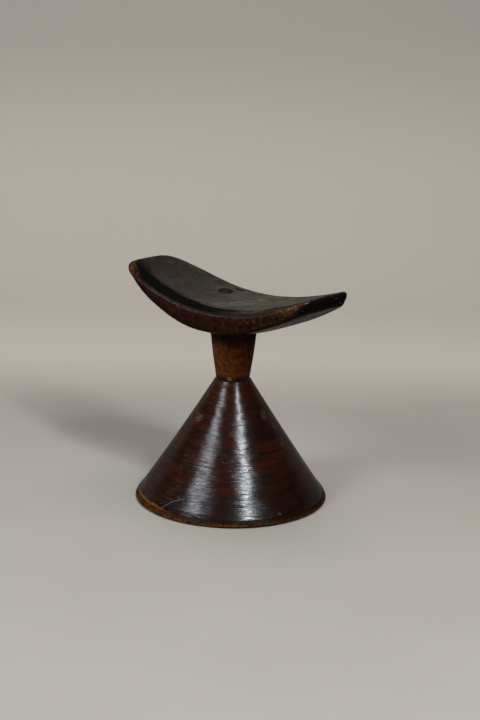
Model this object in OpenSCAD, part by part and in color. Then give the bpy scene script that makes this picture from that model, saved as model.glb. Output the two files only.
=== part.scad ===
// Wooden headrest of the conical-base kind: a curved pillow for the head on a short
// neck, on a solid cone that stands on the floor.
// The whole piece is carved from one billet. Each node is one region of that carving,
// bounded by a line that the carver cut, that the wood grew or that wear has drawn,
// and the regions meet face to face.
// Origin: centre of the base, on the floor. +X along the pillow, +Z up.

/* [Pillow] */
// Length of the pillow, end to end
pillow_length = 173; // [150:1:190]
// Width of the pillow, front to back
pillow_width = 67; // [56:1:76]
// Thickness of the pillow over the neck
pillow_thickness = 18; // [16:0.5:22]
// Height of the cradle's lowest point above the floor
cradle_height = 147; // [140:1:155]
// Rise of the cradle from its lowest point to the pillow's ends
cradle_rise = 21; // [17:0.5:25]
// Rise of the underside from the neck to the pillow's ends
underside_rise = 29; // [26:0.5:31]
// Radius of the four corners, seen from above
corner_radius = 14; // [8:1:22]
// Width of the eased band along each long edge
arris_width = 2.5; // [1:0.5:4]

/* [Heart knot] */
// Diameter of the small round knot in the cradle
knot_diameter = 8; // [5:0.5:12]
// Depth of the knot below the cradle's lowest point
knot_depth = 6; // [3:0.5:10]
// Distance of the knot from the middle, along the pillow
knot_x = -21; // [-30:1:30]
// Distance of the knot from the middle, across the pillow
knot_y = 14; // [-18:1:18]

/* [Neck] */
// Diameter of the neck where it stands on the cone
neck_foot_diameter = 25; // [21:0.5:25.5]
// Diameter of the neck where it meets the pillow
neck_top_diameter = 34.5; // [30:0.5:38]

/* [Cone base] */
// Height of the cone's top above the floor
cone_height = 91; // [80:1:100]
// Diameter of the cone's top, a step wider than the neck's foot
cone_top_diameter = 26; // [26:0.5:30]
// Hollowing of the cone's side, at its deepest
cone_hollow = 0.8; // [0.2:0.1:2]
// Height and width of the rounded shoulder over the rim
shoulder_size = 3; // [2:0.5:6]

/* [Foot rim] */
// Diameter of the base at its widest, close to the floor
base_diameter = 141; // [120:1:150]
// Height of the worn band around the foot
rim_height = 5; // [4:0.5:8]
// How much the band leans in from its widest to its top
rim_lean = 1.5; // [0.5:0.5:3]
// Height and width of the eased edge at the floor
foot_edge = 1.5; // [0.5:0.5:2.5]
// Width of the flat ring that the base stands on
ring_width = 12; // [8:1:20]
// Depth of the shallow recess inside that ring
recess_depth = 2; // [1:0.5:3]

/* [Hidden] */
$fn = 96;

wood_top = "#3b352f";
wood_knot = "#26201b";
wood_neck = "#7a4a1f";
wood_cone = "#54301f";
wood_rim = "#8f6630";

// Radius of the arc that rises by `rise` over half of `chord`
function arc_radius(chord, rise) = (chord * chord / 4 + rise * rise) / (2 * rise);

cradle_radius = arc_radius(pillow_length, cradle_rise);
cradle_centre = cradle_height + cradle_radius;
underside_height = cradle_height - pillow_thickness;
underside_radius = arc_radius(pillow_length, underside_rise);
underside_centre = underside_height + underside_radius;
pillow_top = cradle_height + cradle_rise;
cut_margin = 10;
arc_steps = 256;

base_radius = base_diameter / 2;
rim_top_radius = base_radius - rim_lean;
recess_radius = base_radius - ring_width;
recess_slope = 8;
cone_steps = 12;

// Drum that lies across the pillow, with its axis at this height
module drum_across(height, radius) {
    translate([0, 0, height]) rotate([90, 0, 0])
        cylinder(r = radius, h = 2 * pillow_width, center = true, $fn = arc_steps);
}

// Wedge turned about the same axis, which eases the two long edges at this radius.
// `inward` is 1 where the wood lies outside the radius, and -1 where it lies inside.
module arris_cutter(height, radius, inward) {
    edge = pillow_width / 2;
    near = radius - inward * cut_margin;
    tip = edge - arris_width - cut_margin;
    far = radius + inward * arris_width;
    translate([0, 0, height]) rotate([90, 0, 0]) for (side = [-1, 1])
        rotate_extrude($fn = arc_steps) polygon([
            [near, side * tip],
            [near, side * (edge + cut_margin)],
            [far + inward * cut_margin, side * (edge + cut_margin)]
        ]);
}

// Outline of the pillow from above, with round corners
module pillow_plan() {
    inner_length = pillow_length - 2 * corner_radius;
    inner_width = pillow_width - 2 * corner_radius;
    square([inner_length, pillow_width], center = true);
    square([pillow_length, inner_width], center = true);
    for (x = [-1, 1], y = [-1, 1])
        translate([x * inner_length / 2, y * inner_width / 2]) circle(r = corner_radius);
}

// The pillow's full shape, with the knot still in it
module pillow_body() {
    low = underside_height - cut_margin;
    difference() {
        intersection() {
            translate([0, 0, low]) linear_extrude(pillow_top - low + cut_margin) pillow_plan();
            drum_across(underside_centre, underside_radius);
        }
        drum_across(cradle_centre, cradle_radius);
        arris_cutter(cradle_centre, cradle_radius, 1);
        arris_cutter(underside_centre, underside_radius, -1);
    }
}

// The column of wood that the knot fills
module knot_column() {
    translate([knot_x, knot_y, cradle_height - knot_depth])
        cylinder(d = knot_diameter, h = knot_depth + cradle_rise);
}

module pillow() {
    color(wood_top) difference() {
        pillow_body();
        knot_column();
    }
}

module heart_knot() {
    color(wood_knot) difference() {
        knot_column();
        drum_across(cradle_centre, cradle_radius);
    }
}

// Tapered column, cut on top to the curve of the pillow's underside
module neck() {
    neck_height = underside_height - cone_height;
    taper = (neck_top_diameter - neck_foot_diameter) / neck_height;
    run_on = 5;
    color(wood_neck) difference() {
        translate([0, 0, cone_height])
            cylinder(d1 = neck_foot_diameter, d2 = neck_top_diameter + taper * run_on,
                     h = neck_height + run_on);
        drum_across(underside_centre, underside_radius);
    }
}

// Solid cone with slightly hollow sides and a rounded shoulder over the rim
module cone_base() {
    foot = [rim_top_radius - shoulder_size, rim_height + shoulder_size];
    top = [cone_top_diameter / 2, cone_height];
    // A parabola's depth at t is 4 t (1 - t) of its depth in the middle
    side = [for (i = [0:cone_steps]) let (t = i / cone_steps)
        foot + t * (top - foot) - [4 * cone_hollow * t * (1 - t), 0]];
    color(wood_cone) rotate_extrude()
        polygon(concat([[0, rim_height], [rim_top_radius, rim_height]], side,
                       [[0, cone_height]]));
}

// Band around the foot, with an eased lower edge and a shallow sloping recess underneath
module foot_rim() {
    color(wood_rim) difference() {
        rotate_extrude() polygon([
            [0, 0],
            [base_radius - foot_edge, 0],
            [base_radius, foot_edge],
            [rim_top_radius, rim_height],
            [0, rim_height]
        ]);
        cylinder(r1 = recess_radius, r2 = recess_radius - recess_slope, h = recess_depth);
    }
}

pillow();
heart_knot();
neck();
cone_base();
foot_rim();
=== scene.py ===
import math

import bmesh
import bpy
import numpy as np
from bpy.props import FloatProperty, FloatVectorProperty, IntProperty, PointerProperty
from mathutils import Matrix, Vector, noise


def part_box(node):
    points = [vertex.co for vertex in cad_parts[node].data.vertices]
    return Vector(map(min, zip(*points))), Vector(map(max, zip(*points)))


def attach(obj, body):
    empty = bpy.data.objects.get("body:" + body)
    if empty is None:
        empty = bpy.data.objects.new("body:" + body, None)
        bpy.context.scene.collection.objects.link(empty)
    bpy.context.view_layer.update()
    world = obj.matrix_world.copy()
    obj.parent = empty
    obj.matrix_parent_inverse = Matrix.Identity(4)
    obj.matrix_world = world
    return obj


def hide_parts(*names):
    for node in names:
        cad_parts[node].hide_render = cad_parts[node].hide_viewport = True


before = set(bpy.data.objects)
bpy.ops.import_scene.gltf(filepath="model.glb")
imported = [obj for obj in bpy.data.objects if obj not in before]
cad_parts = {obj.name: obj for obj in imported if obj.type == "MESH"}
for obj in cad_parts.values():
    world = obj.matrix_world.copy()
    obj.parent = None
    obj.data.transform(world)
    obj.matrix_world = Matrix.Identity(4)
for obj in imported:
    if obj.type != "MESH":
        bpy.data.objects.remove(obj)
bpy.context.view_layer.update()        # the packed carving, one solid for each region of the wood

bl_info = {
    "name": "Conical Headrest",
    "version": (1, 0, 0),
    "blender": (4, 5, 0),
    "location": "3D View > Sidebar > Headrest",
    "description": "Carves a wooden headrest: pillow, knot, neck, cone and worn rim",
    "category": "Object",
}

MM = 0.001

PILLOW_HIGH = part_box("pillow")[1]
KNOT_LOW, KNOT_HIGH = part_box("heart_knot")
NECK_LOW, NECK_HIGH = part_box("neck")
CONE_LOW, CONE_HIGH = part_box("cone_base")
RIM_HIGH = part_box("foot_rim")[1]
KNOT_PLACE = (KNOT_LOW + KNOT_HIGH) / 2
BASE_RADIUS = RIM_HIGH.x
EDGE_RADIUS = 68.5 * MM     # where the worn rim meets the cone


def in_mm(*sizes):
    """Sizes given in millimetres, as metres."""
    return tuple(size * MM for size in sizes)


# Marks that the wood has picked up, by place
NICK_PLACE = in_mm(-10.3, -22.0, 148.4)      # a small fresh nick in the cradle
CRESCENT_PLACE = in_mm(-17.7, 25.0, 149.0)   # a curved dent beside the knot
RESIN_PLACE = in_mm(6.3, -11.0, 92.8)        # a drop of resin at the neck's foot
SCAR_PLACE = in_mm(-7.9, -28.4, 64.9)        # a pale scar on the cone's left
FAR_SCAR_PLACE = in_mm(27.3, 4.5, 67.7)      # a fainter one at its right
LOW_SCAR_PLACE = in_mm(64.2, -19.4, 7.4)     # a small one close to the rim
RIM_MARK_PLACES = (in_mm(51.2, -47.2, 3.5), in_mm(54.0, -44.0, 3.5))
# The long scratch is a short stretch of a circle's edge
SCRATCH = {
    "Centre": in_mm(22.1, -75.2, -17.1), "Radius": 37.25 * MM,
    "Middle": in_mm(2.2, -64.0, 11.5), "Half length": 12.0 * MM, "Width": 0.26 * MM}

# Directions from the axis, seen from above
# The far side is painted in shade: the neck darker and the cone's red weaker there.
SHADED_SIDE = (0.75, 0.66, 0.0)         # away from the window, to the right of the camera
WINDOW_SIDE = (-0.42, -0.91, 0.0)    # towards the window, where the foot is worn most
FRONT_SIDE = (0.05, -0.999, 0.0)     # where the rim's varnish has gone

# Tints of wood and dirt, with a painted sheen and a partly painted highlight, in linear light
HAZE = (0.0100, 0.0072, 0.0042, 1.0)
# Painted sheen: lighter brown on the right half of the pillow's top
SHEEN_BROWN = (0.0250, 0.0150, 0.0055, 1.0)
OLIVE = (0.0160, 0.0090, 0.0032, 1.0)
OLIVE_GOLD = (0.0240, 0.0140, 0.0040, 1.0)
PORE = (0.0060, 0.0040, 0.0016, 1.0)
DUST = (0.10, 0.09, 0.08, 1.0)
FRESH_ORANGE = (0.175, 0.046, 0.005, 1.0)
NECK_CRUST = (0.110, 0.080, 0.040, 1.0)
RESIN = (0.19, 0.080, 0.010, 1.0)
OLD_SCAR = (0.085, 0.050, 0.020, 1.0)
SCRATCHED = (0.12, 0.11, 0.10, 1.0)
# Pale crust flecks, partly a painted highlight on the cone's collar
CONE_CRUST_AND_HIGHLIGHT = (0.080, 0.064, 0.042, 1.0)
BARE_RIM = (0.118, 0.036, 0.0040, 1.0)
RIM_PORE = (0.006, 0.0028, 0.0010, 1.0)


# ---------------------------------------------------------------- settings

class PillowSettings(bpy.types.PropertyGroup):
    """Sizes of the curved head plate."""
    half_length: FloatProperty(
        name="Half length", description="From the middle to an end",
        default=PILLOW_HIGH.x + 0.7 * MM, unit="LENGTH")
    half_width: FloatProperty(
        name="Half width", description="From the middle to a long edge",
        default=PILLOW_HIGH.y + 0.2 * MM, unit="LENGTH")
    cradle_height: FloatProperty(
        name="Cradle height", description="Lowest point of the cradle over the floor",
        default=148.2 * MM, unit="LENGTH")
    thickness: FloatProperty(
        name="Thickness", description="Thickness over the neck",
        default=20.4 * MM, unit="LENGTH")
    cradle_bow: FloatProperty(
        name="Cradle bow", description="Mean rise of the cradle to its ends",
        default=20.8 * MM, unit="LENGTH")
    cradle_lean: FloatProperty(
        name="Cradle lean", description="How much higher the left end is than the mean",
        default=1.9 * MM, unit="LENGTH")
    belly_bow: FloatProperty(
        name="Belly bow", description="Mean rise of the underside to its ends",
        default=33.2 * MM, unit="LENGTH")
    belly_lean: FloatProperty(
        name="Belly lean", description="How much higher the underside's left end is",
        default=3.5 * MM, unit="LENGTH")
    belly_crown: FloatProperty(
        name="Belly crown", description="Rise of the underside to its long edges",
        default=3.2 * MM, unit="LENGTH")
    left_crown: FloatProperty(
        name="Left crown", description="The same rise at the left end",
        default=5.6 * MM, unit="LENGTH")
    arris: FloatProperty(
        name="Upper arris", description="Radius of the worn upper edge",
        default=4.2 * MM, unit="LENGTH")
    lower_arris: FloatProperty(
        name="Lower arris", description="Radius of the worn lower edge",
        default=2.0 * MM, unit="LENGTH")
    undercut: FloatProperty(
        name="Undercut", description="How far the sides lean in towards the underside",
        default=0.8 * MM, unit="LENGTH")
    around: IntProperty(
        name="Steps around", description="Points around the outline", default=640)


class TurningSettings(bpy.types.PropertyGroup):
    """Hand work on the round parts."""
    around: IntProperty(
        name="Steps around", description="Points around a round part", default=360)
    wobble: FloatProperty(
        name="Wobble", description="How far a round part is from true",
        default=0.0005, unit="LENGTH")
    ring_depth: FloatProperty(
        name="Ring depth", description="Depth of the rings that the scraper left",
        default=0.00005, unit="LENGTH")
    ring_pitch: FloatProperty(
        name="Ring pitch", description="Distance between those rings",
        default=0.0018, unit="LENGTH")
    seed: IntProperty(name="Seed", description="Start of the random wobble", default=7)


class FinishSettings(bpy.types.PropertyGroup):
    """Colours of the wood, in linear light."""
    pillow_black: FloatVectorProperty(
        name="Pillow black", description="Hand-polished top of the pillow",
        default=(0.0065, 0.0048, 0.0036), subtype="COLOR")
    side_brown: FloatVectorProperty(
        name="Side brown", description="Sides of the pillow",
        default=(0.0220, 0.0046, 0.0020), subtype="COLOR")
    neck_orange: FloatVectorProperty(
        name="Neck orange", description="Bare wood of the neck",
        default=(0.138, 0.0320, 0.0037), subtype="COLOR")
    cone_brown: FloatVectorProperty(
        name="Cone brown", description="Oiled wood of the cone",
        default=(0.0175, 0.0068, 0.0028), subtype="COLOR")
    cone_red: FloatVectorProperty(
        name="Cone red", description="Red patches of the cone",
        default=(0.0450, 0.0052, 0.0014), subtype="COLOR")
    worn_gold: FloatVectorProperty(
        name="Worn gold", description="Wood laid bare by wear",
        default=(0.120, 0.043, 0.009), subtype="COLOR")
    # Dark colour of old dirt in hollows; it also paints shade: the dark band inside the pillow's
    # near edge, the lower edge of its sides and the rim's foot.
    grime_and_shade: FloatVectorProperty(
        name="Grime", description="Old dirt in hollows",
        default=(0.0026, 0.0021, 0.0018), subtype="COLOR")


class StudioSettings(bpy.types.PropertyGroup):
    """Camera, lights and backdrop."""
    azimuth: FloatProperty(
        name="Azimuth", description="Camera's turn round the headrest",
        default=math.radians(41.68), subtype="ANGLE")
    distance: FloatProperty(
        name="Distance", description="Camera's distance from the axis",
        default=1.1224, unit="LENGTH")
    height: FloatProperty(
        name="Height", description="Camera's height over the floor",
        default=0.4093, unit="LENGTH")
    look_down: FloatProperty(
        name="Look down", description="Camera's tilt towards the floor",
        default=math.radians(15.222), subtype="ANGLE")
    pan: FloatProperty(
        name="Pan", description="Camera's turn away from the axis",
        default=math.radians(0.252), subtype="ANGLE")
    roll: FloatProperty(
        name="Roll", description="Camera's lean to the side",
        default=math.radians(1.076), subtype="ANGLE")
    lens: FloatProperty(
        name="Lens", description="Focal length in millimetres", default=80.0)
    paper: FloatVectorProperty(
        name="Paper", description="Colour of the floor and the backdrop",
        default=(0.318, 0.287, 0.249), subtype="COLOR")


COOL = (0.86, 0.93, 1.0)
SKY = (0.80, 0.90, 1.0)
WARM = (1.0, 0.96, 0.92)
LAMP = (1.0, 0.91, 0.80)

# Name, turn from the camera and height in degrees, distance, size, watts, colour, height
# of the target, and whether polished wood mirrors the light
LIGHTS = (
    ("Right strip", 28, 47, 1.3, (0.11, 0.55), 16.4, COOL, 0.06, True),
    ("Left window", -51, 35, 1.4, (0.38, 0.38), 11.0, COOL, 0.06, True),
    ("Low left window", -84, 8, 1.7, (0.7, 0.12), 1.6, SKY, 0.15, True),
    ("Left bounce", -98, 33, 2.0, (1.2, 1.0), 7.0, COOL, 0.06, False),
    ("Overhead", 150, 80, 1.7, (0.9, 0.9), 11.0, WARM, 0.06, False),
    ("Back fill", 196, 40, 1.9, (1.0, 0.6), 7.0, LAMP, 0.06, True),
)

SETTINGS = {
    "headrest_pillow": PillowSettings,
    "headrest_turning": TurningSettings,
    "headrest_finish": FinishSettings,
    "headrest_studio": StudioSettings,
}


# ------------------------------------------------------------ node helpers

def add_node(tree, kind, inputs=None, **settings):
    """Makes a node. `inputs` maps a socket's name or number to a value or another socket."""
    made = tree.nodes.new(kind)
    for name, value in settings.items():
        setattr(made, name, value)
    for name, value in (inputs or {}).items():
        socket = made.inputs[name]
        if isinstance(value, bpy.types.NodeSocket):
            tree.links.new(value, socket)
        else:
            socket.default_value = value
    return made


def maths(tree, operation, *values, clamp=False):
    made = add_node(tree, "ShaderNodeMath", dict(enumerate(values)),
                    operation=operation, use_clamp=clamp)
    return made.outputs[0]


def vector_maths(tree, operation, *values, scale=None):
    inputs = dict(enumerate(values))
    if scale is not None:
        inputs["Scale"] = scale
    made = add_node(tree, "ShaderNodeVectorMath", inputs, operation=operation)
    return made.outputs["Value" if operation in ("DOT_PRODUCT", "LENGTH", "DISTANCE") else "Vector"]


def stretched(tree, vector, scale):
    """The vector with each axis multiplied."""
    return vector_maths(tree, "MULTIPLY", vector, scale)


def noise_value(tree, vector, scale=1.0, detail=3.0, roughness=0.55, distortion=0.0):
    made = add_node(tree, "ShaderNodeTexNoise", {
        "Vector": vector, "Scale": scale, "Detail": detail,
        "Roughness": roughness, "Distortion": distortion})
    return made.outputs[0]


def remap(tree, value, low, high, to_low=0.0, to_high=1.0, smooth=False):
    """Maps low..high to to_low..to_high and clamps."""
    made = add_node(tree, "ShaderNodeMapRange", {
        "Value": value, "From Min": low, "From Max": high,
        "To Min": to_low, "To Max": to_high},
        interpolation_type="SMOOTHSTEP" if smooth else "LINEAR")
    return made.outputs["Result"]


def blend_colours(tree, factor, first, second):
    """The Mix node keeps its colour sockets at 6 and 7, and its colour result at 2."""
    made = add_node(tree, "ShaderNodeMix", {0: factor, 6: first, 7: second},
                    data_type="RGBA", blend_type="MIX")
    return made.outputs[2]


def lay_over(tree, colour, layers):
    """Lays tints over a colour, one after another: (mask, strength, tint)."""
    for mask, strength, tint in layers:
        whole = isinstance(strength, float) and strength == 1.0
        share = mask if whole else maths(tree, "MULTIPLY", mask, strength)
        colour = blend_colours(tree, share, colour, tint)
    return colour


def add_masks(tree, value, layers, clamp=False):
    """Adds each mask to a value by its amount: (mask, amount). Only the last sum clamps."""
    for number, (mask, amount) in enumerate(layers, 1):
        value = maths(tree, "MULTIPLY_ADD", mask, amount, value,
                      clamp=clamp and number == len(layers))
    return value


def axes_of(tree, vector):
    return add_node(tree, "ShaderNodeSeparateXYZ", {0: vector}).outputs


def product(tree, first, *others):
    for other in others:
        first = maths(tree, "MULTIPLY", first, other)
    return first


def moved(tree, place, shift):
    """The same place in another part of the noise."""
    return vector_maths(tree, "ADD", place, shift)


def opaque(colour):
    return (*colour, 1.0)


def scaled(colour, factor):
    return (*(channel * factor for channel in colour), 1.0)


def new_group(name, inputs, outputs):
    """A shader node group with float and vector inputs. Returns tree, inputs and outputs."""
    tree = bpy.data.node_groups.new(name, "ShaderNodeTree")
    for title, default in inputs.items():
        kind = "NodeSocketVector" if default is None else "NodeSocketFloat"
        socket = tree.interface.new_socket(title, in_out="INPUT", socket_type=kind)
        if default is not None:
            socket.default_value = default
    for title in outputs:
        tree.interface.new_socket(title, in_out="OUTPUT", socket_type="NodeSocketFloat")
    given = tree.nodes.new("NodeGroupInput").outputs
    result = tree.nodes.new("NodeGroupOutput").inputs
    return tree, given, result


def use_group(tree, name, inputs):
    made = tree.nodes.new("ShaderNodeGroup")
    made.node_tree = bpy.data.node_groups[name]
    for title, value in inputs.items():
        socket = made.inputs[title]
        if isinstance(value, bpy.types.NodeSocket):
            tree.links.new(value, socket)
        else:
            socket.default_value = value
    return made.outputs


# ----------------------------------------------------- shared wood effects

def make_growth_rings():
    """Growth rings round an upright heart beside the billet, so they flame on the cone."""
    tree, given, result = new_group(
        "Growth rings",
        {"Vector": None, "Heart X": 0.03, "Heart Y": -0.12, "Pitch": 0.004, "Waviness": 1.0},
        ["Ring"])
    axis = add_node(tree, "ShaderNodeCombineXYZ", {0: given["Heart X"], 1: given["Heart Y"]})
    away = vector_maths(tree, "SUBTRACT", given["Vector"], axis.outputs[0])
    level = vector_maths(tree, "LENGTH", stretched(tree, away, (1.0, 1.0, 0.12)))
    sway = noise_value(tree, stretched(tree, given["Vector"], (60.0, 60.0, 16.0)), detail=4.0)
    count = maths(tree, "DIVIDE", level, given["Pitch"])
    drift = maths(tree, "MULTIPLY_ADD", sway, given["Waviness"], count)
    wave = maths(tree, "SINE", maths(tree, "MULTIPLY", drift, math.tau))
    ring = maths(tree, "MULTIPLY_ADD", wave, 0.5, 0.5)
    tree.links.new(maths(tree, "POWER", ring, 2.2), result["Ring"])


def make_wood_fibre():
    """Fine fibres along the first axis of the vector."""
    tree, given, result = new_group(
        "Wood fibre", {"Vector": None, "Fineness": 1.0}, ["Streak", "Height"])
    lined = vector_maths(tree, "SCALE", given["Vector"], scale=given["Fineness"])
    coarse = noise_value(tree, stretched(tree, lined, (18.0, 260.0, 260.0)), detail=3.0)
    fine = noise_value(tree, stretched(tree, lined, (60.0, 1500.0, 1500.0)), detail=2.0)
    both = maths(tree, "MULTIPLY_ADD", fine, 0.5, maths(tree, "MULTIPLY", coarse, 0.5))
    tree.links.new(remap(tree, both, 0.38, 0.64), result["Streak"])
    tree.links.new(both, result["Height"])


def make_scraper_rings():
    """Fine marks that run round an upright part, as a scraper leaves them."""
    tree, given, result = new_group(
        "Scraper rings", {"Vector": None, "Pitch": 0.0012}, ["Mark", "Height"])
    parts = axes_of(tree, given["Vector"])
    turn = maths(tree, "DIVIDE", parts["Z"], given["Pitch"])
    wide = add_node(tree, "ShaderNodeCombineXYZ", {
        0: maths(tree, "MULTIPLY", parts["X"], 45.0),
        1: maths(tree, "MULTIPLY", parts["Y"], 45.0),
        2: turn})
    broad = noise_value(tree, wide.outputs[0], scale=0.45, detail=2.0)
    thin = noise_value(tree, wide.outputs[0], scale=1.6, detail=2.0, roughness=0.7)
    both = maths(tree, "MULTIPLY_ADD", thin, 0.6, maths(tree, "MULTIPLY", broad, 0.4))
    tree.links.new(remap(tree, both, 0.35, 0.68), result["Mark"])
    tree.links.new(both, result["Height"])


def make_patina():
    """Soft cloudy patches of handling and oil."""
    tree, given, result = new_group(
        "Patina", {"Vector": None, "Size": 0.02, "Contrast": 0.2}, ["Cloud"])
    spot = vector_maths(tree, "SCALE", given["Vector"],
                        scale=maths(tree, "DIVIDE", 1.0, given["Size"]))
    cloud = noise_value(tree, spot, detail=6.0, roughness=0.62, distortion=0.4)
    low = maths(tree, "SUBTRACT", 0.5, given["Contrast"])
    high = maths(tree, "ADD", 0.5, given["Contrast"])
    tree.links.new(remap(tree, cloud, low, high, smooth=True), result["Cloud"])


def make_edge_wear():
    """Breaks an even edge mask up into chips and rubbed patches."""
    tree, given, result = new_group(
        "Edge wear", {"Vector": None, "Edge": 0.0, "Reach": 0.5, "Chip size": 0.003},
        ["Mask"])
    spot = vector_maths(tree, "SCALE", given["Vector"],
                        scale=maths(tree, "DIVIDE", 1.0, given["Chip size"]))
    chips = noise_value(tree, spot, detail=5.0, roughness=0.7)
    raised = maths(tree, "ADD", given["Edge"], maths(tree, "SUBTRACT", chips, 0.5))
    start = maths(tree, "SUBTRACT", 1.0, given["Reach"])
    tree.links.new(remap(tree, raised, start, maths(tree, "ADD", start, 0.25), smooth=True),
                   result["Mask"])


def make_specks():
    """Small scattered specks, such as dirt, resin and dents."""
    tree, given, result = new_group(
        "Specks", {"Vector": None, "Spacing": 0.004, "Share": 0.3}, ["Mask"])
    spot = vector_maths(tree, "SCALE", given["Vector"],
                        scale=maths(tree, "DIVIDE", 1.0, given["Spacing"]))
    shaken = vector_maths(tree, "ADD", spot, vector_maths(
        tree, "SCALE", add_node(tree, "ShaderNodeTexNoise", {
            "Vector": spot, "Scale": 3.0, "Detail": 2.0}).outputs["Color"], scale=0.35))
    cells = add_node(tree, "ShaderNodeTexVoronoi", {"Vector": shaken, "Scale": 1.0})
    near = remap(tree, cells.outputs["Distance"], 0.10, 0.34, 1.0, 0.0, smooth=True)
    parts = axes_of(tree, cells.outputs["Color"])
    chosen = maths(tree, "LESS_THAN", parts["X"], given["Share"])
    tree.links.new(maths(tree, "MULTIPLY", near, chosen), result["Mask"])


def make_scratches():
    """Thin scratches across the first axis of the vector."""
    tree, given, result = new_group(
        "Scratches", {"Vector": None, "Length": 0.02, "Share": 0.5}, ["Mask"])
    spot = vector_maths(tree, "SCALE", given["Vector"],
                        scale=maths(tree, "DIVIDE", 1.0, given["Length"]))
    bent = noise_value(tree, stretched(tree, spot, (1.0, 30.0, 30.0)), detail=2.0,
                       roughness=0.4, distortion=0.25)
    line = remap(tree, maths(tree, "ABSOLUTE", maths(tree, "SUBTRACT", bent, 0.5)),
                 0.0, 0.006, 1.0, 0.0)
    gate = noise_value(tree, spot, scale=1.7, detail=1.0)
    shown = remap(tree, gate, maths(tree, "SUBTRACT", 1.0, given["Share"]),
                  maths(tree, "SUBTRACT", 1.1, given["Share"]))
    tree.links.new(maths(tree, "MULTIPLY", line, shown), result["Mask"])


def make_long_scratch():
    """One thin curved scratch: a short stretch of a circle's edge."""
    tree, given, result = new_group("Long scratch", {
        "Vector": None, "Centre": None, "Radius": 0.03, "Middle": None,
        "Half length": 0.01, "Width": 0.0003}, ["Mask"])
    rough = noise_value(tree, given["Vector"], scale=900.0, detail=2.0)
    out = vector_maths(tree, "DISTANCE", given["Vector"], given["Centre"])
    off = maths(tree, "ABSOLUTE", maths(tree, "SUBTRACT", out, given["Radius"]))
    wide = maths(tree, "MULTIPLY", given["Width"], maths(tree, "MULTIPLY", rough, 2.0))
    line = remap(tree, maths(tree, "DIVIDE", off, wide), 0.4, 1.2, 1.0, 0.0, smooth=True)
    along = vector_maths(tree, "DISTANCE", given["Vector"], given["Middle"])
    share = maths(tree, "DIVIDE", along, given["Half length"])
    gate = remap(tree, share, 0.7, 1.0, 1.0, 0.0, smooth=True)
    tree.links.new(maths(tree, "MULTIPLY", line, gate), result["Mask"])


def make_spot():
    """One ragged spot of a given reach round a place."""
    tree, given, result = new_group("Spot", {
        "Vector": None, "Place": None, "Reach": 0.003, "Grit": 0.5}, ["Mask"])
    away = maths(tree, "DIVIDE", vector_maths(tree, "DISTANCE", given["Vector"],
                                              given["Place"]), given["Reach"])
    grain = noise_value(tree, given["Vector"], scale=700.0, detail=4.0, roughness=0.7)
    ragged = maths(tree, "MULTIPLY_ADD", maths(tree, "SUBTRACT", grain, 0.5),
                   maths(tree, "MULTIPLY", given["Grit"], 4.0), away)
    tree.links.new(remap(tree, ragged, 0.35, 1.0, 1.0, 0.0, smooth=True), result["Mask"])


def make_turned_figure():
    """Long soft streaks that lie round an upright part."""
    tree, given, result = new_group(
        "Turned figure", {"Vector": None, "Height": 0.006, "Contrast": 0.15}, ["Streak"])
    tall = maths(tree, "DIVIDE", 1.0, given["Height"])
    parts = axes_of(tree, given["Vector"])
    wide = maths(tree, "MULTIPLY", tall, 0.06)
    lined = add_node(tree, "ShaderNodeCombineXYZ", {
        0: maths(tree, "MULTIPLY", parts["X"], wide),
        1: maths(tree, "MULTIPLY", parts["Y"], wide),
        2: maths(tree, "MULTIPLY", parts["Z"], tall)})
    cloud = noise_value(tree, lined.outputs[0], detail=3.0, roughness=0.55)
    low = maths(tree, "SUBTRACT", 0.5, given["Contrast"])
    high = maths(tree, "ADD", 0.5, given["Contrast"])
    tree.links.new(remap(tree, cloud, low, high, smooth=True), result["Streak"])


EFFECTS = (make_long_scratch, make_spot, make_turned_figure, make_growth_rings,
           make_wood_fibre, make_scraper_rings, make_patina, make_edge_wear, make_specks,
           make_scratches)


# --------------------------------------------------------------- materials

def start_material(name):
    """A material with an empty Principled shader. Returns material, tree and shader."""
    material = bpy.data.materials.new(name)
    material.use_nodes = True
    tree = material.node_tree
    shader = tree.nodes["Principled BSDF"]
    return material, tree, shader


def object_place(tree):
    return add_node(tree, "ShaderNodeTexCoord").outputs["Object"]


def own_mask(tree, name):
    return add_node(tree, "ShaderNodeAttribute", attribute_name=name,
                    attribute_type="GEOMETRY").outputs["Fac"]


def add_bump(tree, shader, height, strength, distance):
    bump = add_node(tree, "ShaderNodeBump", {
        "Height": height, "Strength": strength, "Distance": distance})
    tree.links.new(bump.outputs[0], shader.inputs["Normal"])


def turned_axes(tree, place, first, second, third):
    """The same place with its axes in another order, so that fibres run along `first`."""
    parts = axes_of(tree, place)
    made = add_node(tree, "ShaderNodeCombineXYZ", {
        0: parts[first], 1: parts[second], 2: parts[third]})
    return made.outputs[0]


def near_edge_dark_reflection(tree, parts, wall, under, edge, ragged, broad):
    """Painted dark reflection: a band inside the pillow's near long edge, narrower towards the
    right.
    """
    near = remap(tree, parts["Y"], -0.022, -0.010, 1.0, 0.0)
    narrow = remap(tree, parts["X"], -0.012, 0.020, 0.45, 0.75)
    narrow = maths(tree, "MULTIPLY_ADD", maths(tree, "SUBTRACT", broad, 0.5), -0.9, narrow)
    band = maths(tree, "MULTIPLY_ADD", maths(tree, "SUBTRACT", ragged, 0.5), 0.45, edge)
    band = remap(tree, maths(tree, "SUBTRACT", band, maths(tree, "MULTIPLY", narrow, 0.5)),
                 -0.06, 0.16)
    lip = remap(tree, edge, 0.62, 0.9)
    clear_lip = maths(tree, "MULTIPLY", lip, remap(tree, parts["X"], 0.005, 0.035))
    over_edge = remap(tree, maths(tree, "ADD", wall, under), 0.45, 0.70, 1.0, 0.0)
    return product(tree, band, maths(tree, "SUBTRACT", 1.0, clear_lip), near, over_edge)


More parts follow.
